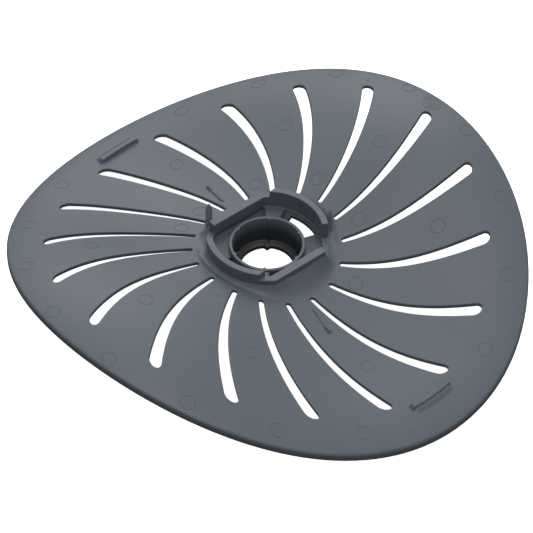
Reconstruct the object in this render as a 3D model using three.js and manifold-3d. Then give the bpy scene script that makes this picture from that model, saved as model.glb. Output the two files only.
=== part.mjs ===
// Round saddle-shaped cover plate with swirling slots and a keyed hub socket,
// shown with its hub side up. Dimensions in mm, +Z up along the hub axis,
// the origin on that axis at the level of the lowest rim points.
import * as THREE from 'three';
import { mergeVertices } from 'three/addons/utils/BufferGeometryUtils.js';
import Module from 'manifold-3d';

// ---- driving dimensions -------------------------------------------------
const DISC_R = 72.5;            // mean plate radius
const OVAL = 2.32;              // the plan outline is narrower by this much towards OVAL_AZ
const OVAL_AZ = 50.2;
const PLATE_T = 1.3;            // plate thickness
const RIM_W = 1.6;              // bead under the rim: width and depth below the upper face
const RIM_T = 2.65;
const PLATE_Z = 13.66;          // plate face at the hub, above the lowest rim points
const SADDLE_AZ = 45.1;         // direction in which the plate curves up
const SADDLE_R = 56.0;          // reference radius of the saddle law
const SADDLE = [23.11, -16.21, 3.75];  // two-fold rise at SADDLE_R: parts in r^2, r^4 and r^6
const DISH = [4.29, 0.12, -1.43];      // round dish at SADDLE_R: the same parts

const SLOTS = 18;               // swirling slots
const SLOT_IN_R = 20.87;        // inner tips
const SLOT_OUT_R = 62.37;       // outer tips
const SLOT_AZ = 82.3;           // outer tip of the first slot
const SLOT_SWEEP = 16.3;        // turn of a slot between its tips
const SLOT_W_IN = 1.41;
const SLOT_W_OUT = 3.63;
const VANE_COLUMNS = 5;         // facets across the vane between two slots
const SLOT_BANDS = 12;          // facets along a slot

const FACET = 4;                // facet angle of the hub; its azimuths are 2 plus multiples of it
const FLANGE_OUT_R = 20.3;      // foot of the flange fillet, where the plate begins
const FLANGE_TOP_R = 18.4;      // edge of the level flange top
const FLANGE_H = 1.3;           // flange top above the plate level
const SOCKET_R = 15.4;          // inside of the collar
const COLLAR_R = 17.3;          // outside of the collar
const ARC_H = 6.85;             // arc walls above the plate level
const CHORD_H = 4.65;           // straight walls above the plate level
const CHORD_OUT = 14.85;        // hub axis to the outer face of a straight wall
const CHORD_FROM = -86;         // a straight wall spans this chord of the socket circle
const CHORD_TO = -14;
const ARC_FROM = -170;          // an arc wall runs from a gate to the tail of a straight wall
const ARC_TO = -94;

const SLEEVE_R = 10.65;
const SLEEVE_TOP = 1.85;        // sleeve rim above the plate level
const SLEEVE_END = -8.1;        // sleeve end below the plate level
const BORE_R = 9.8;
const LIP_R = 7.6;              // inward lip at the sleeve's lower end
const LIP_H = 1.2;
const KEY_AZ = 26;              // first of the keys inside the sleeve
const KEY_STEP = 60;
const KEY_DEPTH = 0.55;

const OPEN_FROM = 22;           // crescent opening between the sleeve and the collar
const OPEN_TO = 62;
const OPEN_OUT_R = 14.7;        // a thin strip of floor stays outside the opening
const WEB_FROM = 70;            // sloping web between the sleeve and the collar
const WEB_TO = 94;
const WEB_IN_H = 1.5;
const WEB_OUT_H = 1.0;

const TAB_T = 0.9;              // pointed tabs beside the two gates, leaning away from them
const TAB_WEST = { x: -17.45, y: 6.45, width: 1.9 };
const TAB_EAST = { x: 16.7, y: 4.6, width: 1.5 };
const TAB_H = 7.1;
const TAB_SHOULDER = 6.1;
const TAB_LEAN = 0.5;

const BAR_IN_R = 64.0;          // grip bars near the rim
const BAR_OUT_R = 67.4;
const BAR_H = 1.5;
const BAR_COLUMNS = 3;
const RIB_LEVELS = [4, 8];      // facet rings between which the small rest ribs stand
const RIB_H = 0.9;
const BLOCK_TAPER = 0.35;       // draft of the bars and ribs, per side

const DEG = Math.PI / 180;

// ---- plate surface ------------------------------------------------------
function plateHeight(r, azimuth) {
  const q = (r / SADDLE_R) ** 2;
  const law = (parts) => q * (parts[0] + q * (parts[1] + q * parts[2]));
  return PLATE_Z + law(SADDLE) * Math.cos(2 * (azimuth - SADDLE_AZ) * DEG) + law(DISH);
}

function rimRadius(azimuth) {
  return DISC_R - OVAL * Math.cos(2 * (azimuth - OVAL_AZ) * DEG);
}

function polar(r, azimuth, z) {
  return [r * Math.cos(azimuth * DEG), r * Math.sin(azimuth * DEG), z];
}

function onPlate([r, azimuth], lift) {
  return polar(r, azimuth, plateHeight(r, azimuth) + lift);
}

// A slot's centre line is an even spiral between its two tips.
function slotAzimuth(slot, r) {
  const along = (r - SLOT_IN_R) / (SLOT_OUT_R - SLOT_IN_R);
  const turn = 1 - Math.min(1, Math.max(0, along));
  return SLOT_AZ - (360 / SLOTS) * slot - SLOT_SWEEP * turn;
}

// A slot tapers evenly and has a round nose at each tip.
function slotHalfWidth(r) {
  const noseIn = SLOT_W_IN / 2;
  const noseOut = SLOT_W_OUT / 2;
  const startIn = SLOT_IN_R + noseIn;
  const startOut = SLOT_OUT_R - noseOut;
  if (r <= SLOT_IN_R || r >= SLOT_OUT_R) return 0;
  if (r < startIn) return Math.sqrt(noseIn ** 2 - (startIn - r) ** 2);
  if (r > startOut) return Math.sqrt(noseOut ** 2 - (r - startOut) ** 2);
  return noseIn + (noseOut - noseIn) * (r - startIn) / (startOut - startIn);
}

// Radii of the plate's facet rings: close together round the noses.
function plateLevels() {
  const noseIn = SLOT_W_IN / 2;
  const noseOut = SLOT_W_OUT / 2;
  const from = SLOT_IN_R + noseIn;
  const to = SLOT_OUT_R - noseOut;
  const levels = [FLANGE_OUT_R, SLOT_IN_R, SLOT_IN_R + 0.3 * noseIn];
  for (let i = 0; i <= SLOT_BANDS; i += 1) levels.push(from + (to - from) * i / SLOT_BANDS);
  levels.push(SLOT_OUT_R - 0.5 * noseOut, SLOT_OUT_R - 0.13 * noseOut, SLOT_OUT_R);
  levels.push(BAR_IN_R, BAR_OUT_R, DISC_R - RIM_W, DISC_R);
  return levels;
}

// Facet columns of a vane: column 0 is the edge of the next slot, the last
// column is the facing edge of this one.
function columnAt(sector, column, r) {
  const half = slotHalfWidth(r) / r / DEG;
  const from = slotAzimuth(sector + 1, r) + half;
  const to = slotAzimuth(sector, r) - half;
  const azimuth = from + (to - from) * column / VANE_COLUMNS;
  const onRim = r > BAR_OUT_R;
  return [onRim ? r - DISC_R + rimRadius(azimuth) : r, azimuth];
}

// ---- mesh helpers -------------------------------------------------------
class Facets {
  constructor() {
    this.points = [];
  }

  triangle(...corners) {
    this.points.push(...corners.flat());
  }

  // Corners anticlockwise from outside; the diagonal joins the first and third.
  quad(a, b, c, d) {
    this.triangle(a, b, c);
    this.triangle(a, c, d);
  }

  geometry() {
    const g = new THREE.BufferGeometry();
    g.setAttribute('position', new THREE.Float32BufferAttribute(this.points, 3));
    return weld(g);
  }
}

// Merge vertices and drop the triangles that have closed up to a line.
function weld(geometry) {
  geometry.deleteAttribute('normal');
  geometry.deleteAttribute('uv');
  const merged = mergeVertices(geometry, 1e-4);
  const index = Array.from(merged.getIndex().array);
  const kept = [];
  for (let i = 0; i < index.length; i += 3) {
    const [a, b, c] = index.slice(i, i + 3);
    if (a !== b && b !== c && c !== a) kept.push(a, b, c);
  }
  merged.setIndex(kept);
  return merged;
}

// An upright prism over a closed outline of [x, y] points.
function prism(outline, z0, z1) {
  const shape = new THREE.Shape(outline.map(([x, y]) => new THREE.Vector2(x, y)));
  const solid = new THREE.ExtrudeGeometry(shape, { depth: z1 - z0, bevelEnabled: false });
  solid.translate(0, 0, z0);
  return weld(solid);
}

function arcPoints(r, from, to) {
  const points = [];
  const step = Math.sign(to - from) * FACET;
  for (let az = from; Math.abs(az - from) <= Math.abs(to - from); az += step) {
    points.push(polar(r, az, 0).slice(0, 2));
  }
  return points;
}

function ringSector(rIn, rOut, from, to, z0, z1) {
  return prism([...arcPoints(rOut, from, to), ...arcPoints(rIn, to, from)], z0, z1);
}

function halfTurn(geometry) {
  return geometry.clone().rotateZ(Math.PI);
}

const wasm = await Module();
wasm.setup();

function union(...geometries) {
  const solids = geometries.map((g) => new wasm.Manifold(new wasm.Mesh({
    numProp: 3,
    vertProperties: new Float32Array(g.getAttribute('position').array),
    triVerts: new Uint32Array(g.getIndex().array),
  })));
  const mesh = solids.reduce((a, b) => a.add(b)).getMesh();
  const g = new THREE.BufferGeometry();
  g.setAttribute('position', new THREE.BufferAttribute(mesh.vertProperties, 3));
  g.setIndex(new THREE.BufferAttribute(mesh.triVerts, 1));
  return g;
}

// ---- plate --------------------------------------------------------------
function coverPlate() {
  const facets = new Facets();
  const levels = plateLevels();
  const upright = (a, b) => {
    facets.quad(onPlate(a, 0), onPlate(b, 0), onPlate(b, -PLATE_T), onPlate(a, -PLATE_T));
  };
  for (let s = 0; s < SLOTS; s += 1) {
    for (let i = 0; i + 1 < levels.length; i += 1) {
      const [r0, r1] = [levels[i], levels[i + 1]];
      for (let c = 0; c < VANE_COLUMNS; c += 1) {
        const corners = [columnAt(s, c, r0), columnAt(s, c, r1), columnAt(s, c + 1, r1), columnAt(s, c + 1, r0)];
        const [a, b, d, e] = corners;
        facets.quad(...corners.map((p) => onPlate(p, 0)));
        facets.quad(...[a, e, d, b].map((p) => onPlate(p, -PLATE_T)));
        if (i === 0) upright(a, e);
        if (i + 2 === levels.length) upright(d, b);
      }
      if (slotHalfWidth(r0) + slotHalfWidth(r1) > 0) {
        upright(columnAt(s, 0, r1), columnAt(s, 0, r0));
        upright(columnAt(s, VANE_COLUMNS, r0), columnAt(s, VANE_COLUMNS, r1));
      }
    }
  }
  return facets.geometry();
}

// A bead under the rim, whose upper face is the plate's outermost lower facets.
function rimBead() {
  const facets = new Facets();
  for (let s = 0; s < SLOTS; s += 1) {
    for (let c = 0; c < VANE_COLUMNS; c += 1) {
      const [here, next] = [c, c + 1].map((column) => {
        const inner = columnAt(s, column, DISC_R - RIM_W);
        const outer = columnAt(s, column, DISC_R);
        return [onPlate(inner, -PLATE_T), onPlate(outer, -PLATE_T), onPlate(outer, -RIM_T), onPlate(inner, -RIM_T)];
      });
      facets.quad(here[0], here[1], next[1], next[0]);
      facets.quad(here[1], here[2], next[2], next[1]);
      facets.quad(here[2], here[3], next[3], next[2]);
      facets.quad(here[3], here[0], next[0], next[3]);
    }
  }
  return facets.geometry();
}

// A raised block with drafted sides whose foot follows whole plate facets.
function plateBlock(sector, first, columns, rings, height) {
  const facets = new Facets();
  const last = first + columns;
  const end = rings.length - 1;
  const foot = (c, i) => onPlate(columnAt(sector, c, rings[i]), 0);
  const head = (c, i) => {
    const [r, azimuth] = columnAt(sector, c, rings[i]);
    const radius = r + ((i === 0 ? 1 : 0) - (i === end ? 1 : 0)) * BLOCK_TAPER;
    const side = (c === first ? 1 : 0) - (c === last ? 1 : 0);
    return onPlate([radius, azimuth + side * BLOCK_TAPER / radius / DEG], height);
  };
  for (let c = first; c < last; c += 1) {
    for (let i = 0; i < end; i += 1) {
      const [a, b, d, e] = [foot(c, i), foot(c, i + 1), foot(c + 1, i + 1), foot(c + 1, i)];
      const [ah, bh, dh, eh] = [head(c, i), head(c, i + 1), head(c + 1, i + 1), head(c + 1, i)];
      facets.quad(ah, bh, dh, eh);
      facets.triangle(a, d, b);
      facets.triangle(a, e, d);
      if (i === 0) facets.quad(ah, eh, e, a);
      if (i === end - 1) facets.quad(dh, bh, b, d);
      if (c === first) facets.quad(bh, ah, a, b);
      if (c === last - 1) facets.quad(eh, dh, d, e);
    }
  }
  return facets.geometry();
}

// ---- hub ----------------------------------------------------------------
function smooth(t) {
  return t * t * (3 - 2 * t);
}

// The flange joins the level hub to the saddle: its outer edge follows the
// plate's inner edge, its socket edge is level.
function hubFlange() {
  const facets = new Facets();
  const fillet = (t) => FLANGE_TOP_R + (FLANGE_OUT_R - FLANGE_TOP_R) * t;
  const rings = [SOCKET_R, FLANGE_TOP_R, fillet(0.3), fillet(0.65), FLANGE_OUT_R];
  const top = (r, azimuth) => {
    const t = Math.max(0, (r - FLANGE_TOP_R) / (FLANGE_OUT_R - FLANGE_TOP_R));
    const toPlate = plateHeight(r, azimuth) - PLATE_Z;
    return polar(r, azimuth, PLATE_Z + FLANGE_H * (1 - t) ** 2 + smooth(t) * toPlate);
  };
  const under = (r, azimuth) => {
    const t = (r - SOCKET_R) / (FLANGE_OUT_R - SOCKET_R);
    const toPlate = plateHeight(r, azimuth) - PLATE_Z;
    return polar(r, azimuth, PLATE_Z - PLATE_T + smooth(t) * toPlate);
  };
  for (let s = 0; s < SLOTS; s += 1) {
    for (let c = 0; c < VANE_COLUMNS; c += 1) {
      const [, a0] = columnAt(s, c, FLANGE_OUT_R);
      const [, a1] = columnAt(s, c + 1, FLANGE_OUT_R);
      for (let i = 0; i + 1 < rings.length; i += 1) {
        const [r0, r1] = [rings[i], rings[i + 1]];
        facets.quad(top(r0, a0), top(r1, a0), top(r1, a1), top(r0, a1));
        facets.quad(under(r0, a0), under(r0, a1), under(r1, a1), under(r1, a0));
      }
      facets.quad(top(SOCKET_R, a0), top(SOCKET_R, a1), under(SOCKET_R, a1), under(SOCKET_R, a0));
      facets.quad(top(FLANGE_OUT_R, a1), top(FLANGE_OUT_R, a0), under(FLANGE_OUT_R, a0), under(FLANGE_OUT_R, a1));
    }
  }
  return facets.geometry();
}

// A sleeve with a round outside and small pointed keys along its bore.
function centreSleeve() {
  const facets = new Facets();
  const keyed = (azimuth) => ((azimuth - KEY_AZ) % KEY_STEP === 0 ? KEY_DEPTH : 0);
  const ring = (azimuth) => [
    polar(SLEEVE_R, azimuth, PLATE_Z + SLEEVE_END),
    polar(SLEEVE_R, azimuth, PLATE_Z + SLEEVE_TOP),
    polar(BORE_R - keyed(azimuth), azimuth, PLATE_Z + SLEEVE_TOP),
    polar(BORE_R - keyed(azimuth), azimuth, PLATE_Z + SLEEVE_END + LIP_H),
    polar(LIP_R, azimuth, PLATE_Z + SLEEVE_END + LIP_H),
    polar(LIP_R, azimuth, PLATE_Z + SLEEVE_END),
  ];
  for (let az = KEY_AZ; az < KEY_AZ + 360; az += FACET) {
    const [here, next] = [ring(az), ring(az + FACET)];
    here.forEach((point, i) => {
      const j = (i + 1) % here.length;
      facets.quad(point, next[i], next[j], here[j]);
    });
  }
  return facets.geometry();
}

// A straight wall: its foot fills the segment between the chord and the
// socket circle, its upper part runs on as a curved tail to the arc wall.
function chordWall() {
  const middle = (CHORD_FROM + CHORD_TO) / 2;
  const reach = Math.acos(CHORD_OUT / COLLAR_R) / DEG;
  const foot = prism(arcPoints(SOCKET_R, CHORD_FROM, CHORD_TO), PLATE_Z, PLATE_Z + FLANGE_H);
  const outline = [
    ...arcPoints(SOCKET_R, CHORD_FROM, ARC_TO),
    ...arcPoints(COLLAR_R, ARC_TO, CHORD_FROM - FACET),
    polar(COLLAR_R, middle - reach, 0).slice(0, 2),
    polar(COLLAR_R, middle + reach, 0).slice(0, 2),
    polar(SOCKET_R, CHORD_TO, 0).slice(0, 2),
  ];
  return union(foot, prism(outline, PLATE_Z + FLANGE_H, PLATE_Z + CHORD_H));
}

// The web's top slopes down from the sleeve to the collar.
function slopingWeb() {
  const facets = new Facets();
  const end = (az) => [
    polar(SLEEVE_R, az, PLATE_Z),
    polar(SOCKET_R, az, PLATE_Z),
    polar(SOCKET_R, az, PLATE_Z + WEB_OUT_H),
    polar(SLEEVE_R, az, PLATE_Z + WEB_IN_H),
  ];
  for (let az = WEB_FROM; az < WEB_TO; az += FACET) {
    const [here, next] = [end(az), end(az + FACET)];
    here.forEach((point, i) => {
      const j = (i + 1) % here.length;
      facets.quad(point, next[i], next[j], here[j]);
    });
  }
  facets.quad(...end(WEB_FROM));
  facets.quad(...end(WEB_TO).reverse());
  return facets.geometry();
}

// The floor between the sleeve and the collar: half a turn of it, cut back at one end
// to a thin strip outside the crescent opening.
function hubFloor() {
  const outline = [
    ...arcPoints(SOCKET_R, OPEN_FROM, OPEN_FROM + 180),
    ...arcPoints(SLEEVE_R, OPEN_FROM + 180, OPEN_TO),
    ...arcPoints(OPEN_OUT_R, OPEN_TO, OPEN_FROM),
  ];
  return prism(outline, PLATE_Z - PLATE_T, PLATE_Z);
}

// A thin tab with a pointed head, standing on the flange.
function pointedTab({ x, y, width }) {
  const shape = new THREE.Shape();
  shape.moveTo(x, PLATE_Z + FLANGE_H);
  shape.lineTo(x + width, PLATE_Z + FLANGE_H);
  shape.lineTo(x + width, PLATE_Z + TAB_SHOULDER);
  shape.lineTo(x + width / 2, PLATE_Z + TAB_H);
  shape.lineTo(x, PLATE_Z + TAB_SHOULDER);
  const tab = new THREE.ExtrudeGeometry(shape, { depth: TAB_T, bevelEnabled: false });
  tab.rotateX(Math.PI / 2);
  tab.translate(0, y + TAB_T, 0);
  const lean = new THREE.Matrix4().makeShear(0, 0, 0, 0, 0, TAB_LEAN);
  const foot = PLATE_Z + FLANGE_H;
  tab.translate(0, 0, -foot).applyMatrix4(lean).translate(0, 0, foot);
  return weld(tab);
}

// ---- assembly -----------------------------------------------------------
const PLATE_GREY = 0x666b6f;
const HUB_GREY = 0x4d5257;

function named(name, geometry, colour) {
  const material = new THREE.MeshStandardMaterial({ color: colour, roughness: 0.55 });
  const mesh = new THREE.Mesh(geometry, material);
  mesh.name = name;
  return mesh;
}

const levels = plateLevels();
const ribRings = levels.slice(...RIB_LEVELS);
const barRings = [BAR_IN_R, BAR_OUT_R];
const floor = hubFloor();
const arcWall = ringSector(SOCKET_R, COLLAR_R, ARC_FROM, ARC_TO, PLATE_Z + FLANGE_H, PLATE_Z + ARC_H);
const straightWall = chordWall();
const web = slopingWeb();

const part = new THREE.Group();
part.name = 'blade_cover_plate';
part.add(
  named('cover_plate', coverPlate(), PLATE_GREY),
  named('rim_bead', rimBead(), PLATE_GREY),
  named('hub_flange', hubFlange(), PLATE_GREY),
  named('hub_floor_nw', floor, HUB_GREY),
  named('hub_floor_se', halfTurn(floor), HUB_GREY),
  named('centre_sleeve', centreSleeve(), HUB_GREY),
  named('collar_arc_sw', arcWall, HUB_GREY),
  named('collar_arc_ne', halfTurn(arcWall), HUB_GREY),
  named('collar_straight_se', straightWall, HUB_GREY),
  named('collar_straight_nw', halfTurn(straightWall), HUB_GREY),
  named('hub_web_n', web, HUB_GREY),
  named('hub_web_s', halfTurn(web), HUB_GREY),
  named('gate_tab_w', pointedTab(TAB_WEST), HUB_GREY),
  named('gate_tab_e', pointedTab(TAB_EAST), HUB_GREY),
  named('grip_bar_se', plateBlock(6, 1, BAR_COLUMNS, barRings, BAR_H), PLATE_GREY),
  named('grip_bar_nw', plateBlock(15, 1, BAR_COLUMNS, barRings, BAR_H), PLATE_GREY),
  named('rest_rib_se', plateBlock(6, 2, 1, ribRings, RIB_H), PLATE_GREY),
  named('rest_rib_nw', plateBlock(15, 2, 1, ribRings, RIB_H), PLATE_GREY),
);

export default part;
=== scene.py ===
import math

import bmesh
import bpy
from mathutils import Matrix, Vector


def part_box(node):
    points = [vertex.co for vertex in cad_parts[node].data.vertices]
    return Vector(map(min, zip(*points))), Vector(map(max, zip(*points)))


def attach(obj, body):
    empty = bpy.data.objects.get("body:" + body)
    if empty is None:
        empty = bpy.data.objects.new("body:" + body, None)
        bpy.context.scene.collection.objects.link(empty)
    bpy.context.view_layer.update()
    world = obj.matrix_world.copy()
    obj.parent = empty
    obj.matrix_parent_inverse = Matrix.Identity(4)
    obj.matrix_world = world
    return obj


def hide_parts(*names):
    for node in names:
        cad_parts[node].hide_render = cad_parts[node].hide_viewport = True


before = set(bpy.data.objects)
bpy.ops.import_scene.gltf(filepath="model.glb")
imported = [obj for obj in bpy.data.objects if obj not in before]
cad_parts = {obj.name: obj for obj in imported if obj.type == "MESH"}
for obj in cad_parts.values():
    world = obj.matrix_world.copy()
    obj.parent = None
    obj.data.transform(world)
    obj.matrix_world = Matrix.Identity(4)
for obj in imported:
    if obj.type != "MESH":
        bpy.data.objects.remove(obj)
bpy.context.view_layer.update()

# Lengths below are in millimetres and angles in degrees; meshes are written in metres.
MM = 0.001


def low(node):
    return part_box(node)[0] / MM


def high(node):
    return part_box(node)[1] / MM


# ---- driving sizes, read from the frame where a node's box gives them -------
HUB_Z = high("hub_floor_nw").z  # plate level at the hub
DISC_R = 72.5  # mean plate radius
OVAL = 2.32  # the plan outline is narrower by this much towards OVAL_AZ
OVAL_AZ = 50.2
ROUND_TO_R = 63.4  # inside this radius the plate's levels are circles
OVAL_MARGIN = 0.4  # the levels follow the outline fully from this far inside the rim
PLATE_T = 1.3
RIM_W = 1.6  # width of the thicker rim
RIM_T = 2.65
RIM_STEP = 0.3  # width of the step in the underside where the rim begins
SADDLE_AZ = 45.1  # direction in which the plate curves up
SADDLE_R = 56.0
SADDLE = (23.11, -16.21, 3.75)  # two-fold rise at SADDLE_R: parts in r^2, r^4 and r^6
DISH = (4.29, 0.12, -1.43)  # round dish at SADDLE_R: the same parts

SLOTS = 18
SLOT_IN_R = 20.87
SLOT_OUT_R = 62.37
SLOT_AZ = 82.3  # outer tip of the first slot
SLOT_SWEEP = 16.3  # turn of a slot between its tips
NOSE_IN = 0.705  # half the slot width at its inner tip
NOSE_OUT = 1.815  # half the slot width at its outer tip
SLOT_ROUND = 0.24  # edge rounding along the slots
RIM_ROUND = 0.65  # edge rounding along the rim

SOCKET_R = 15.4  # inside of the collar
FLANGE_OUT_R = 20.4
FLANGE_H = 1.3  # at the gates, where no wall stands
COVE_H = 3.5  # height to which the fillet climbs up the walls
COVE_POWER = 2.2  # how hollow the fillet is
COVE_SINK = 0.3  # how far the fillet reaches into a wall
FOOT_SLACK = 0.05  # inside a wall, the flange keeps its low height up to this far from the fillet
COVE_FADE = 5  # angle over which the fillet drops beside a gate

COLLAR_R = 17.3  # outside of the collar
ARC_TOP = high("collar_arc_ne").z
CHORD_TOP = high("collar_straight_se").z
CHORD_OUT = 14.85  # hub axis to the outer face of a straight wall
CHORD_FROM = -86
CHORD_TO = -14
CHORD_MIDDLE = (CHORD_FROM + CHORD_TO) / 2
CHORD_REACH = math.degrees(math.acos(CHORD_OUT / COLLAR_R))
ARC_FROM = -170
ARC_TO_IN = -91.5  # the end of an arc wall is cut on the slant
ARC_TO_OUT = -97
TAIL_LAP = 1  # angle between the ends of an arc wall and the tail of a straight wall
GATE_MIDDLE = (CHORD_TO + ARC_FROM + 180) / 2
GATE_SPAN = (ARC_FROM + 180 - CHORD_TO) / 2

SLEEVE_R = 10.65
SLEEVE_TOP = high("centre_sleeve").z
SLEEVE_END = low("centre_sleeve").z
BORE_R = 9.8
LIP_R = 7.6  # inward lip at the sleeve's lower end
LIP_H = 1.2
LIP_BUMPS = (90, 263)
LIP_BUMP = 0.9
LIP_BUMP_SPREAD = 9
KEY_AZ = 26
KEY_STEP = 60
KEY_DEPTH = 0.55
KEY_SPREAD = 3.4  # half the angle of a key's foot

OPEN_FROM = 22  # crescent opening in the socket floor
OPEN_TO = 62
OPEN_OUT_R = 14.7
WEB_FROM = 70
WEB_TO = 94
WEB_IN_H = 1.5
WEB_OUT_H = 1.0
FOOT_H = 2.7  # the straight walls' feet meet the fillet at this height

TAB_T = 0.9
TAB_SHOULDER = 1.0  # the shoulders stand this much below a tab's point
TAB_LEAN = 0.5


def clamp(x, a=0.0, b=1.0):
    return max(a, min(b, x))


def smooth(t):
    t = clamp(t)
    return t * t * (3 - 2 * t)


def polar(r, az, z):
    return (r * math.cos(math.radians(az)), r * math.sin(math.radians(az)), z)


# ---- plate surface ---------------------------------------------------------
def law(parts, q):
    return q * (parts[0] + q * (parts[1] + q * parts[2]))


def saddle_height(r, az):
    q = (r / SADDLE_R) ** 2
    return HUB_Z + law(SADDLE, q) * math.cos(2 * math.radians(az - SADDLE_AZ)) + law(DISH, q)


def rim_radius(az):
    return DISC_R - OVAL * math.cos(2 * math.radians(az - OVAL_AZ))


def on_oval(r, az):
    """Radius of a facet level, the outer levels following the oval outline."""
    reach = DISC_R - RIM_W - OVAL_MARGIN - ROUND_TO_R
    return r + (rim_radius(az) - DISC_R) * smooth((r - ROUND_TO_R) / reach)


def fold(angle):
    """Size of an angle in a shape that repeats after half a turn."""
    return abs((angle + 90) % 180 - 90)


def wall_radius(az):
    """Radius of the collar's outer face, flat along the straight walls."""
    off = fold(az - CHORD_MIDDLE)
    if off > CHORD_REACH:
        return COLLAR_R
    return CHORD_OUT / math.cos(math.radians(off))


def cove_height(az):
    """The fillet is high along the walls and low across the two gates."""
    beyond = fold(az - GATE_MIDDLE) - GATE_SPAN
    return FLANGE_H + (COVE_H - FLANGE_H) * smooth((beyond + 1) / COVE_FADE)


def top_height(r, az):
    """Upper face of the plate with the concave fillet of the hub blended into it."""
    foot = wall_radius(az) - COVE_SINK
    t = clamp((r - foot) / (FLANGE_OUT_R - foot))
    plate = saddle_height(r, az) - HUB_Z
    climb = cove_height(az) if r > foot - FOOT_SLACK else FLANGE_H
    return HUB_Z + plate * smooth(t) + climb * (1 - t) ** COVE_POWER


def under_height(r, az):
    t = (r - SOCKET_R) / (FLANGE_OUT_R - SOCKET_R)
    bead = (RIM_T - PLATE_T) * smooth((r - rim_radius(az) + RIM_W) / RIM_STEP)
    return HUB_Z - PLATE_T - bead + (saddle_height(r, az) - HUB_Z) * smooth(t)


def slot_azimuth(slot, r):
    turn = 1 - clamp((r - SLOT_IN_R) / (SLOT_OUT_R - SLOT_IN_R))
    return SLOT_AZ - 360 / SLOTS * slot - SLOT_SWEEP * turn


START_IN = SLOT_IN_R + NOSE_IN
START_OUT = SLOT_OUT_R - NOSE_OUT


def slot_taper(r):
    t = (clamp(r, START_IN, START_OUT) - START_IN) / (START_OUT - START_IN)
    return NOSE_IN + (NOSE_OUT - NOSE_IN) * t


def slot_half_width(r):
    if r <= SLOT_IN_R or r >= SLOT_OUT_R:
        return 0.0
    nose = slot_taper(r)
    beyond = r - clamp(r, START_IN, START_OUT)
    return math.sqrt(max(0.0, nose * nose - beyond * beyond))


def slot_distance(r, aside):
    """Distance from a slot's outline; aside is the distance from its centre line."""
    beyond = r - clamp(r, START_IN, START_OUT)
    return math.hypot(aside, beyond) - slot_taper(r)


def rounding(distance, radius):
    """How far a rounded edge has dropped at a distance from the outline."""
    if distance >= radius:
        return 0.0
    reach = radius - max(0.0, distance)
    return radius - math.sqrt(max(0.0, radius * radius - reach * reach))


def plate_levels():
    levels = [SOCKET_R + (FLANGE_OUT_R - SOCKET_R) * i / 20 for i in range(21)]
    levels += [SLOT_IN_R - d for d in (0.2, 0.13, 0.06)]
    levels += [START_IN - NOSE_IN * math.cos(math.radians(a)) for a in range(0, 90, 11)]
    bands = 46
    levels += [START_IN + (START_OUT - START_IN) * i / bands for i in range(bands)]
    levels += [START_OUT + NOSE_OUT * math.sin(math.radians(a)) for a in range(0, 91, 9)]
    levels += [SLOT_OUT_R + d for d in (0.06, 0.14, 0.28, 0.6)]
    outer = DISC_R - RIM_ROUND
    bead = DISC_R - RIM_W
    levels += [SLOT_OUT_R + 1.2 + (bead - SLOT_OUT_R - 1.2) * i / 9 for i in range(10)]
    levels += [bead + RIM_STEP * i / 3 for i in (1, 2, 3)]
    levels += [outer - 0.25, outer]
    levels += [outer + RIM_ROUND * math.sin(math.radians(a)) for a in range(15, 91, 15)]
    return levels


EDGE_STEPS = (0.0, 0.04, 0.12, 0.28, 0.45)  # facet columns beside a slot
VANE_STEPS = 9  # wider facets between them


def vane_columns(sector, r):
    """(azimuth, distance to the next slot's centre line, to this slot's) across a vane."""
    half = slot_half_width(r)
    start = slot_azimuth(sector + 1, r)
    width = 2 * math.pi * r / SLOTS - 2 * half
    inner = EDGE_STEPS[-1]
    places = list(EDGE_STEPS)
    places += [inner + (width - 2 * inner) * i / VANE_STEPS for i in range(1, VANE_STEPS)]
    places += [width - d for d in reversed(EDGE_STEPS)]
    for place in places:
        yield start + math.degrees((half + place) / r), half + place, half + width - place


def cover_disc():
    """The slotted plate and the flange round its hub, as one closed moulding."""
    verts, faces = [], []
    levels = plate_levels()
    columns = 2 * len(EDGE_STEPS) + VANE_STEPS - 1
    for sector in range(SLOTS):
        base = len(verts)
        for r in levels:
            for az, ahead, behind in vane_columns(sector, r):
                near = min(slot_distance(r, ahead), slot_distance(r, behind))
                out = on_oval(r, az)
                drop = max(rounding(near, SLOT_ROUND), rounding(DISC_R - r, RIM_ROUND))
                verts.append(polar(out, az, top_height(out, az) - drop))
                verts.append(polar(out, az, under_height(out, az) + drop))

        def at(row, column, under, base=base):
            return base + 2 * (row * columns + column) + under

        for row in range(len(levels) - 1):
            for c in range(columns - 1):
                ring = ((row, c), (row + 1, c), (row + 1, c + 1), (row, c + 1))
                faces.append([at(*p, 0) for p in ring])
                faces.append([at(*p, 1) for p in reversed(ring)])
            if slot_half_width(levels[row]) + slot_half_width(levels[row + 1]) > 0:
                for c, (a, b) in ((0, (row + 1, row)), (columns - 1, (row, row + 1))):
                    faces.append([at(a, c, 0), at(b, c, 0), at(b, c, 1), at(a, c, 1)])
        last = len(levels) - 1
        for c in range(columns - 1):
            faces.append([at(0, c, 0), at(0, c + 1, 0), at(0, c + 1, 1), at(0, c, 1)])
            faces.append([at(last, c + 1, 0), at(last, c, 0), at(last, c, 1), at(last, c + 1, 1)])
    return verts, faces


# ---- mesh helpers ----------------------------------------------------------
def revolve(profile, azimuths, closed):
    """A closed profile of (r, z) functions of azimuth swept over the azimuths."""
    verts, faces = [], []
    count = len(profile(azimuths[0]))
    for az in azimuths:
        verts += [polar(r, az, z) for r, z in profile(az)]
    steps = len(azimuths) if closed else len(azimuths) - 1
    for i in range(steps):
        a, b = i * count, (i + 1) % len(azimuths) * count
        for j in range(count):
            k = (j + 1) % count
            faces.append([a + j, b + j, b + k, a + k])
    if not closed:
        faces.append(list(range(count)))
        faces.append([steps * count + j for j in reversed(range(count))])
    return verts, faces


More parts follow.
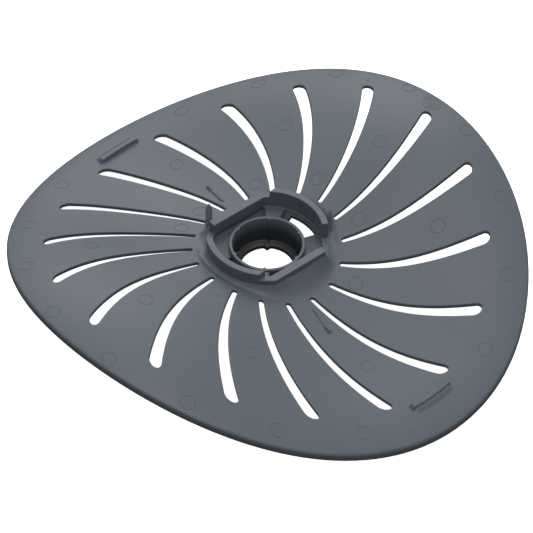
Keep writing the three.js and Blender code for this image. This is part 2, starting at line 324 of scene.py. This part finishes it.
def prism(outline, z0, z1):
    n = len(outline)
    verts = [(x, y, z0) for x, y in outline] + [(x, y, z1) for x, y in outline]
    faces = [list(reversed(range(n))), list(range(n, 2 * n))]
    faces += [[i, (i + 1) % n, n + (i + 1) % n, n + i] for i in range(n)]
    return verts, faces


def arc(r, start, end, step=1.5):
    count = max(1, round(abs(end - start) / step))
    return [polar(r, start + (end - start) * i / count, 0)[:2] for i in range(count + 1)]


def half_turn(shape):
    verts, faces = shape
    return [(-x, -y, z) for x, y, z in verts], faces


def joined(*shapes):
    verts, faces = [], []
    for v, f in shapes:
        faces += [[i + len(verts) for i in face] for face in f]
        verts += v
    return verts, faces


def piece(name, shape, material, stands_for=(), bevel=0.0, crease=35):
    """Makes the mesh, rounds its edges by bevel mm and lets it ride on the one body."""
    verts, faces = shape
    mesh = bpy.data.meshes.new(name)
    mesh.from_pydata([(x * MM, y * MM, z * MM) for x, y, z in verts], [], faces)
    bm = bmesh.new()
    bm.from_mesh(mesh)
    bmesh.ops.remove_doubles(bm, verts=bm.verts, dist=0.002 * MM)
    bmesh.ops.dissolve_degenerate(bm, edges=bm.edges, dist=0.001 * MM)
    bmesh.ops.recalc_face_normals(bm, faces=bm.faces)
    bm.to_mesh(mesh)
    bm.free()
    mesh.shade_smooth()
    mesh.materials.append(material)
    obj = bpy.data.objects.new(name, mesh)
    bpy.context.scene.collection.objects.link(obj)
    if bevel:
        rounded = obj.modifiers.new("rounded", "BEVEL")
        rounded.width = bevel * MM
        rounded.segments = 3
        rounded.limit_method = "ANGLE"
        rounded.angle_limit = math.radians(crease)
        rounded.harden_normals = True
        rounded.use_clamp_overlap = False
    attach(obj, "root")
    if stands_for:
        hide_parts(*stands_for)
    return obj


# ---- materials -------------------------------------------------------------
# Painted shade in the hub: its plastic is painted darker towards the bottom, standing in for the
# shade in its recesses; the next two numbers set where it is darkest and how dark.
PAINTED_SHADE_DEPTH = 3  # painted shade: below the hub's plate level its plastic is painted darkest
PAINTED_SHADE_TONE = 0.22


def plastic(name, colour, roughness, grain=0.010, mottle=0.05, painted_shade=False):
    """Moulded plastic: fine grain, cloudy tone, drier patches; with the shade flag set, the colour
    is painted darker down in the hub as painted shade.
    """
    material = bpy.data.materials.new(name)
    material.use_nodes = True
    nodes, links = material.node_tree.nodes, material.node_tree.links
    nodes.clear()
    out = nodes.new("ShaderNodeOutputMaterial")
    shader = nodes.new("ShaderNodeBsdfPrincipled")
    links.new(shader.outputs["BSDF"], out.inputs["Surface"])
    shader.inputs["IOR"].default_value = 1.47
    shader.inputs["Specular IOR Level"].default_value = 0.42
    place = nodes.new("ShaderNodeTexCoord")

    def noise(scale, detail, rough=0.55):
        node = nodes.new("ShaderNodeTexNoise")
        node.inputs["Scale"].default_value = scale
        node.inputs["Detail"].default_value = detail
        node.inputs["Roughness"].default_value = rough
        links.new(place.outputs["Object"], node.inputs["Vector"])
        return node

    cloud = noise(38, 4)
    fleck = noise(1500, 2, 0.7)
    grit = noise(3200, 3, 0.6)

    tone = nodes.new("ShaderNodeValToRGB")
    tone.color_ramp.elements[0].position = 0.3
    tone.color_ramp.elements[1].position = 0.7
    tone.color_ramp.elements[0].color = (*[c * (1 - mottle) for c in colour], 1)
    tone.color_ramp.elements[1].color = (*[c * (1 + mottle) for c in colour], 1)
    blend = nodes.new("ShaderNodeMath")
    blend.operation = "MULTIPLY_ADD"
    blend.inputs[1].default_value = 0.35
    links.new(fleck.outputs["Fac"], blend.inputs[0])
    half = nodes.new("ShaderNodeMath")
    half.operation = "MULTIPLY"
    half.inputs[1].default_value = 0.65
    links.new(cloud.outputs["Fac"], half.inputs[0])
    links.new(half.outputs[0], blend.inputs[2])
    links.new(blend.outputs[0], tone.inputs["Fac"])
    # Painted shade: the colour is scaled darker towards the bottom of the hub.
    if painted_shade:
        depth = nodes.new("ShaderNodeSeparateXYZ")
        links.new(place.outputs["Object"], depth.inputs["Vector"])
        shade = nodes.new("ShaderNodeMapRange")
        shade.inputs["From Min"].default_value = (HUB_Z - PAINTED_SHADE_DEPTH) * MM
        shade.inputs["From Max"].default_value = SLEEVE_TOP * MM
        shade.inputs["To Min"].default_value = PAINTED_SHADE_TONE
        links.new(depth.outputs["Z"], shade.inputs["Value"])
        deeper = nodes.new("ShaderNodeVectorMath")
        deeper.operation = "SCALE"
        links.new(tone.outputs["Color"], deeper.inputs[0])
        links.new(shade.outputs["Result"], deeper.inputs["Scale"])
        links.new(deeper.outputs["Vector"], shader.inputs["Base Color"])
    else:
        links.new(tone.outputs["Color"], shader.inputs["Base Color"])

    dry = nodes.new("ShaderNodeMapRange")
    dry.inputs["From Min"].default_value = 0.3
    dry.inputs["From Max"].default_value = 0.7
    dry.inputs["To Min"].default_value = roughness - 0.06
    dry.inputs["To Max"].default_value = roughness + 0.06
    links.new(cloud.outputs["Fac"], dry.inputs["Value"])
    links.new(dry.outputs["Result"], shader.inputs["Roughness"])

    bump = nodes.new("ShaderNodeBump")
    bump.inputs["Strength"].default_value = 0.35
    bump.inputs["Distance"].default_value = grain * MM
    links.new(grit.outputs["Fac"], bump.inputs["Height"])
    links.new(bump.outputs["Normal"], shader.inputs["Normal"])
    return material


plate_plastic = plastic("plate_plastic", (0.091, 0.106, 0.125), 0.46)
# The hub's plastic carries painted shade: it is painted darker down in the hub.
hub_plastic_painted_shade = plastic("hub_plastic_painted_shade", (0.094, 0.106, 0.124), 0.46, painted_shade=True)

# ---- plate -------------------------------------------------------------------
disc_nodes = ["cover_plate", "rim_bead", "hub_flange"]
piece("cover_disc", cover_disc(), plate_plastic, disc_nodes)

SINK = 0.35  # how deep the added blocks reach into the plate


def relief(r0, r1, az0, az1, height, rows, columns):
    """A raised patch on the plate whose height is a function of (across, along) in 0..1."""
    verts, faces = [], []
    for under in (0, 1):
        for i in range(rows + 1):
            for j in range(columns + 1):
                r = r0 + (r1 - r0) * i / rows
                az = az0 + (az1 - az0) * j / columns
                lift = -SINK if under else height(i / rows, j / columns)
                verts.append(polar(r, az, saddle_height(r, az) + lift))
    layer = (rows + 1) * (columns + 1)

    def at(i, j, under):
        return under * layer + i * (columns + 1) + j

    for i in range(rows):
        for j in range(columns):
            ring = ((i, j), (i + 1, j), (i + 1, j + 1), (i, j + 1))
            faces.append([at(*p, 0) for p in ring])
            faces.append([at(*p, 1) for p in reversed(ring)])
    for j in range(columns):
        faces.append([at(0, j, 0), at(0, j + 1, 0), at(0, j + 1, 1), at(0, j, 1)])
        faces.append([at(rows, j + 1, 0), at(rows, j, 0), at(rows, j, 1), at(rows, j + 1, 1)])
    for i in range(rows):
        faces.append([at(i + 1, 0, 0), at(i, 0, 0), at(i, 0, 1), at(i + 1, 0, 1)])
        far = ((i, 0), (i + 1, 0), (i + 1, 1), (i, 1))
        faces.append([at(row, columns, under) for row, under in far])
    return verts, faces


BAR_H = 1.35
BAR_RAMP_H = 0.75


def bar_height(across, along):
    """A rib with a steep inner side and a soft lower ramp along its outer side."""
    ends = smooth(along / 0.06) * smooth((1 - along) / 0.06)
    rib = smooth(across / 0.12) * (1 - smooth((across - 0.46) / 0.10))
    ramp = (1 - smooth((across - 0.55) / 0.45)) * smooth(across / 0.2)
    ramp *= smooth(along / 0.12) * smooth((1 - along) / 0.12)
    return -0.04 + max(BAR_H * rib * ends, BAR_RAMP_H * ramp)


def rib_height(across, along):
    """A low round-backed rib that rises to a bump at its outer end."""
    ends = smooth(along / 0.08) * smooth((1 - along) / 0.08)
    back = smooth(across / 0.4) * smooth((1 - across) / 0.4)
    return -0.04 + (0.5 + 0.45 * smooth((along - 0.68) / 0.12)) * ends * back


BAR_IN_R = 63.8
BAR_OUT_R = 67.6
BAR_FROM = -53.2
BAR_TO = -40.2
bar = relief(BAR_IN_R, BAR_OUT_R, BAR_FROM, BAR_TO, bar_height, 44, 60)
piece("grip_bar_right", bar, plate_plastic, ["grip_bar_se"])
piece("grip_bar_left", half_turn(bar), plate_plastic, ["grip_bar_nw"])
RIB_IN_R = 24.0
RIB_OUT_R = 33.6
RIB_FROM = -59.6
RIB_TO = -57.0
rib = relief(RIB_IN_R, RIB_OUT_R, RIB_FROM, RIB_TO, lambda a, b: rib_height(b, a), 60, 14)
piece("rest_rib_right", rib, plate_plastic, ["rest_rib_se"])
piece("rest_rib_left", half_turn(rib), plate_plastic, ["rest_rib_nw"])

# ---- moulding marks ------------------------------------------------------------
MARK_R = 2.0
DIAL_RADII = (2.9, 2.0, 1.0)
PIN_R = 0.3
MARK_PROFILE = ((-0.24, -0.10), (-0.10, 0.08), (0.10, 0.08), (0.24, -0.10))


def ring_mark(r, az, radius):
    """A fine raised ring on the plate, as an ejector pin leaves it."""
    cx, cy, _ = polar(r, az, 0)
    verts, faces = [], []
    steps, count = 40, len(MARK_PROFILE)
    for i in range(steps):
        for aside, lift in MARK_PROFILE:
            dx, dy, _ = polar(radius + aside, 360 * i / steps, 0)
            x, y = cx + dx, cy + dy
            z = saddle_height(math.hypot(x, y), math.degrees(math.atan2(y, x)))
            verts.append((x, y, z + lift))
        a, b = i * count, (i + 1) % steps * count
        faces += [[a + j, b + j, b + (j + 1) % count, a + (j + 1) % count] for j in range(count)]
    return verts, faces


RIM_MARK_R = 67.4
RIM_MARK_AZ = 12.7
BAR_MARKS = (6, 15)  # no marks where the bars stand
RIM_MARKS = [(RIM_MARK_R, RIM_MARK_AZ + 20 * k) for k in range(SLOTS) if k not in BAR_MARKS]
INNER_MARKS = [
    (45, 45), (46, 84), (48, 124), (49, 185), (45, 224), (43, 265), (47, 306), (48, 6),
    (27, 18), (27, 58), (26, 98), (26, 138), (26, 159), (25, 238), (27, 336),
]
marks = [ring_mark(r, az, MARK_R) for r, az in RIM_MARKS + INNER_MARKS]
piece("ejector_marks", joined(*marks), plate_plastic)
DIAL_AT = (66.2, 44.5)
PIN_AT = (65.1, 63.6)
dial = [ring_mark(*DIAL_AT, radius) for radius in DIAL_RADII]
piece("mould_dial", joined(*dial, ring_mark(*PIN_AT, PIN_R)), plate_plastic)

# ---- hub -----------------------------------------------------------------------
def sweep(start, end, step=1.5):
    count = round(abs(end - start) / step)
    return [start + (end - start) * i / count for i in range(count + 1)]


def socket_floor():
    """Half a turn of floor, cut back to a thin strip outside the crescent opening."""
    outline = arc(SOCKET_R, OPEN_FROM, OPEN_FROM + 180)
    outline += arc(SLEEVE_R, OPEN_FROM + 180, OPEN_TO)
    outline += arc(OPEN_OUT_R, OPEN_TO, OPEN_FROM)
    return prism(outline, HUB_Z - PLATE_T, HUB_Z)


FLOOR_EDGE = 0.12
floor = socket_floor()
piece("socket_floor_left", floor, hub_plastic_painted_shade, ["hub_floor_nw"], FLOOR_EDGE)
piece("socket_floor_right", half_turn(floor), hub_plastic_painted_shade, ["hub_floor_se"], FLOOR_EDGE)


def sleeve_profile(az):
    """Sleeve section with keys along the bore and two bumps at its lower mouth."""
    off_key = min((az - KEY_AZ) % KEY_STEP, (KEY_AZ - az) % KEY_STEP)
    key = KEY_DEPTH * smooth(1 - off_key / KEY_SPREAD)
    bump = 0.0
    for middle in LIP_BUMPS:
        off = abs((az - middle + 180) % 360 - 180)
        bump = max(bump, LIP_BUMP * smooth(1 - off / LIP_BUMP_SPREAD))
    top, end = SLEEVE_TOP, SLEEVE_END
    bore, lip = BORE_R - key, LIP_R - bump
    return [
        (SLEEVE_R, end + 0.2),
        (SLEEVE_R, top - 0.16),
        (SLEEVE_R - 0.05, top - 0.05),
        (SLEEVE_R - 0.16, top),
        (bore + 0.16, top),
        (bore + 0.05, top - 0.05),
        (bore, top - 0.16),
        (bore, end + LIP_H + 0.35),
        (bore - 0.12, end + LIP_H + 0.1),
        (bore - 0.4, end + LIP_H),
        (lip + 0.2, end + LIP_H),
        (lip, end + LIP_H - 0.2),
        (lip, end),
        (SLEEVE_R - 0.2, end),
    ]


sleeve = revolve(sleeve_profile, [i * 1.5 for i in range(240)], True)
piece("centre_tube", sleeve, hub_plastic_painted_shade, ["centre_sleeve"])

WALL_Z = HUB_Z + FLANGE_H


def arc_wall():
    outline = arc(COLLAR_R, ARC_FROM, ARC_TO_OUT) + arc(SOCKET_R, ARC_TO_IN, ARC_FROM)
    return prism(outline, WALL_Z - 0.4, ARC_TOP)


def straight_wall():
    outline = arc(SOCKET_R, CHORD_FROM, ARC_TO_IN - TAIL_LAP)
    outline += arc(COLLAR_R, ARC_TO_OUT - TAIL_LAP, CHORD_MIDDLE - CHORD_REACH)
    outline.append(polar(COLLAR_R, CHORD_MIDDLE + CHORD_REACH, 0)[:2])
    outline.append(polar(SOCKET_R, CHORD_TO, 0)[:2])
    foot = prism(arc(SOCKET_R + 0.1, CHORD_FROM, CHORD_TO), HUB_Z, HUB_Z + FOOT_H)
    return joined(foot, prism(outline, WALL_Z - 0.3, CHORD_TOP))


EDGE = 0.22  # rounding of the collar's edges
piece("collar_arc_front", arc_wall(), hub_plastic_painted_shade, ["collar_arc_sw"], EDGE)
piece("collar_arc_rear", half_turn(arc_wall()), hub_plastic_painted_shade, ["collar_arc_ne"], EDGE)
piece("collar_wall_front", straight_wall(), hub_plastic_painted_shade, ["collar_straight_se"], EDGE)
rear_wall = half_turn(straight_wall())
piece("collar_wall_rear", rear_wall, hub_plastic_painted_shade, ["collar_straight_nw"], EDGE)


def web_profile(_):
    return [
        (SLEEVE_R, HUB_Z - 0.1),
        (SOCKET_R, HUB_Z - 0.1),
        (SOCKET_R, HUB_Z + WEB_OUT_H),
        (SLEEVE_R, HUB_Z + WEB_IN_H),
    ]


WEB_EDGE = 0.35
web = revolve(web_profile, sweep(WEB_FROM, WEB_TO), False)
piece("socket_web_rear", web, hub_plastic_painted_shade, ["hub_web_n"], WEB_EDGE)
piece("socket_web_front", half_turn(web), hub_plastic_painted_shade, ["hub_web_s"], WEB_EDGE)

TAB_EDGE = 0.16
TAB_SINK = 0.3  # how deep a tab reaches into the flange
for name, node in (("gate_tab_left", "gate_tab_w"), ("gate_tab_right", "gate_tab_e")):
    foot, head = low(node), high(node)
    shoulder = head.z - TAB_SHOULDER
    outline = [
        (foot.x, foot.z - TAB_SINK),
        (head.x, foot.z - TAB_SINK),
        (head.x, shoulder),
        ((foot.x + head.x) / 2, head.z),
        (foot.x, shoulder),
    ]
    verts, faces = prism(outline, -TAB_T, 0)
    tab = [(x, foot.y - t + TAB_LEAN * (z - foot.z), z) for x, z, t in verts], faces
    piece(name, tab, hub_plastic_painted_shade, [node], TAB_EDGE)

# ---- stage ---------------------------------------------------------------------
FLOOR_SIDE = 6.0
DOME_R = 8.0


def backdrop_material(name, colour, glow):
    material = bpy.data.materials.new(name)
    material.use_nodes = True
    shader = material.node_tree.nodes["Principled BSDF"]
    shader.inputs["Base Color"].default_value = (*colour, 1)
    shader.inputs["Roughness"].default_value = 0.9
    shader.inputs["Specular IOR Level"].default_value = 0.0
    shader.inputs["Emission Color"].default_value = (1, 1, 1, 1)
    shader.inputs["Emission Strength"].default_value = glow
    return material


def stage_object(name, bm, material):
    mesh = bpy.data.meshes.new(name)
    bm.to_mesh(mesh)
    bm.free()
    mesh.shade_smooth()
    mesh.materials.append(material)
    obj = bpy.data.objects.new(name, mesh)
    bpy.context.scene.collection.objects.link(obj)
    obj.visible_diffuse = False
    obj.visible_glossy = False
    return obj


table = bmesh.new()
bmesh.ops.create_grid(table, x_segments=2, y_segments=2, size=FLOOR_SIDE)
stage_object("floor", table, backdrop_material("floor_white", (0.9, 0.9, 0.9), 0.95))
dome = bmesh.new()
bmesh.ops.create_uvsphere(dome, u_segments=48, v_segments=24, radius=DOME_R)
backdrop = stage_object("backdrop", dome, backdrop_material("backdrop_white", (0, 0, 0), 1.0))
backdrop.visible_shadow = False

# ---- light ----------------------------------------------------------------------
world = bpy.data.worlds.new("studio")
bpy.context.scene.world = world
world.use_nodes = True
nodes, links = world.node_tree.nodes, world.node_tree.links
sky = nodes["Background"]
place = nodes.new("ShaderNodeTexCoord")
axes = nodes.new("ShaderNodeSeparateXYZ")
level = nodes.new("ShaderNodeMapRange")
level.inputs["From Min"].default_value = -0.15
level.inputs["From Max"].default_value = 0.9
level.inputs["To Min"].default_value = 0.08
level.inputs["To Max"].default_value = 0.95
links.new(place.outputs["Generated"], axes.inputs["Vector"])
links.new(axes.outputs["Z"], level.inputs["Value"])
links.new(level.outputs["Result"], sky.inputs["Strength"])
sky.inputs["Color"].default_value = (0.97, 0.985, 1.0, 1)


def area_light(name, place, aim, size, watts, tint=(1, 1, 1)):
    data = bpy.data.lights.new(name, "AREA")
    data.shape = "DISK"
    data.size = size
    data.energy = watts
    data.color = tint
    obj = bpy.data.objects.new(name, data)
    bpy.context.scene.collection.objects.link(obj)
    obj.location = place
    obj.rotation_euler = (Vector(aim) - Vector(place)).to_track_quat("-Z", "Y").to_euler()


area_light("key", (-0.12, 1.05, 0.75), (0, 0, 0), 1.3, 7.0)
area_light("fill", (0.1, -0.15, 1.3), (0, 0, 0), 0.5, 3.6)

# ---- camera -----------------------------------------------------------------------
CAM_ELEVATION = 46.165
CAM_ROLL = 0.726
CAM_DISTANCE = 674.4
CAM_ASIDE = (0.18, 5.31)  # the hub axis stands off the picture's centre by this much
CAM_LENS = 162.68
CAM_SENSOR = 36.0

elevation, roll = math.radians(CAM_ELEVATION), math.radians(CAM_ROLL)
right = Vector((1, 0, 0))
up = Vector((0, math.sin(elevation), math.cos(elevation)))
back = Vector((0, -math.cos(elevation), math.sin(elevation)))
right, up = (
    math.cos(roll) * right + math.sin(roll) * up,
    math.cos(roll) * up - math.sin(roll) * right,
)
camera = bpy.data.objects.new("camera", bpy.data.cameras.new("camera"))
bpy.context.scene.collection.objects.link(camera)
camera.data.sensor_width = CAM_SENSOR
camera.data.lens = CAM_LENS
camera.data.clip_start = 0.01
camera.data.clip_end = 50
hub = Vector((0, 0, HUB_Z))
stand = hub + back * CAM_DISTANCE - right * CAM_ASIDE[0] - up * CAM_ASIDE[1]
turn = Matrix((right, up, back)).transposed().to_4x4()
camera.matrix_world = Matrix.Translation(stand * MM) @ turn
bpy.context.scene.camera = camera
bpy.context.scene.view_settings.view_transform = "Standard"
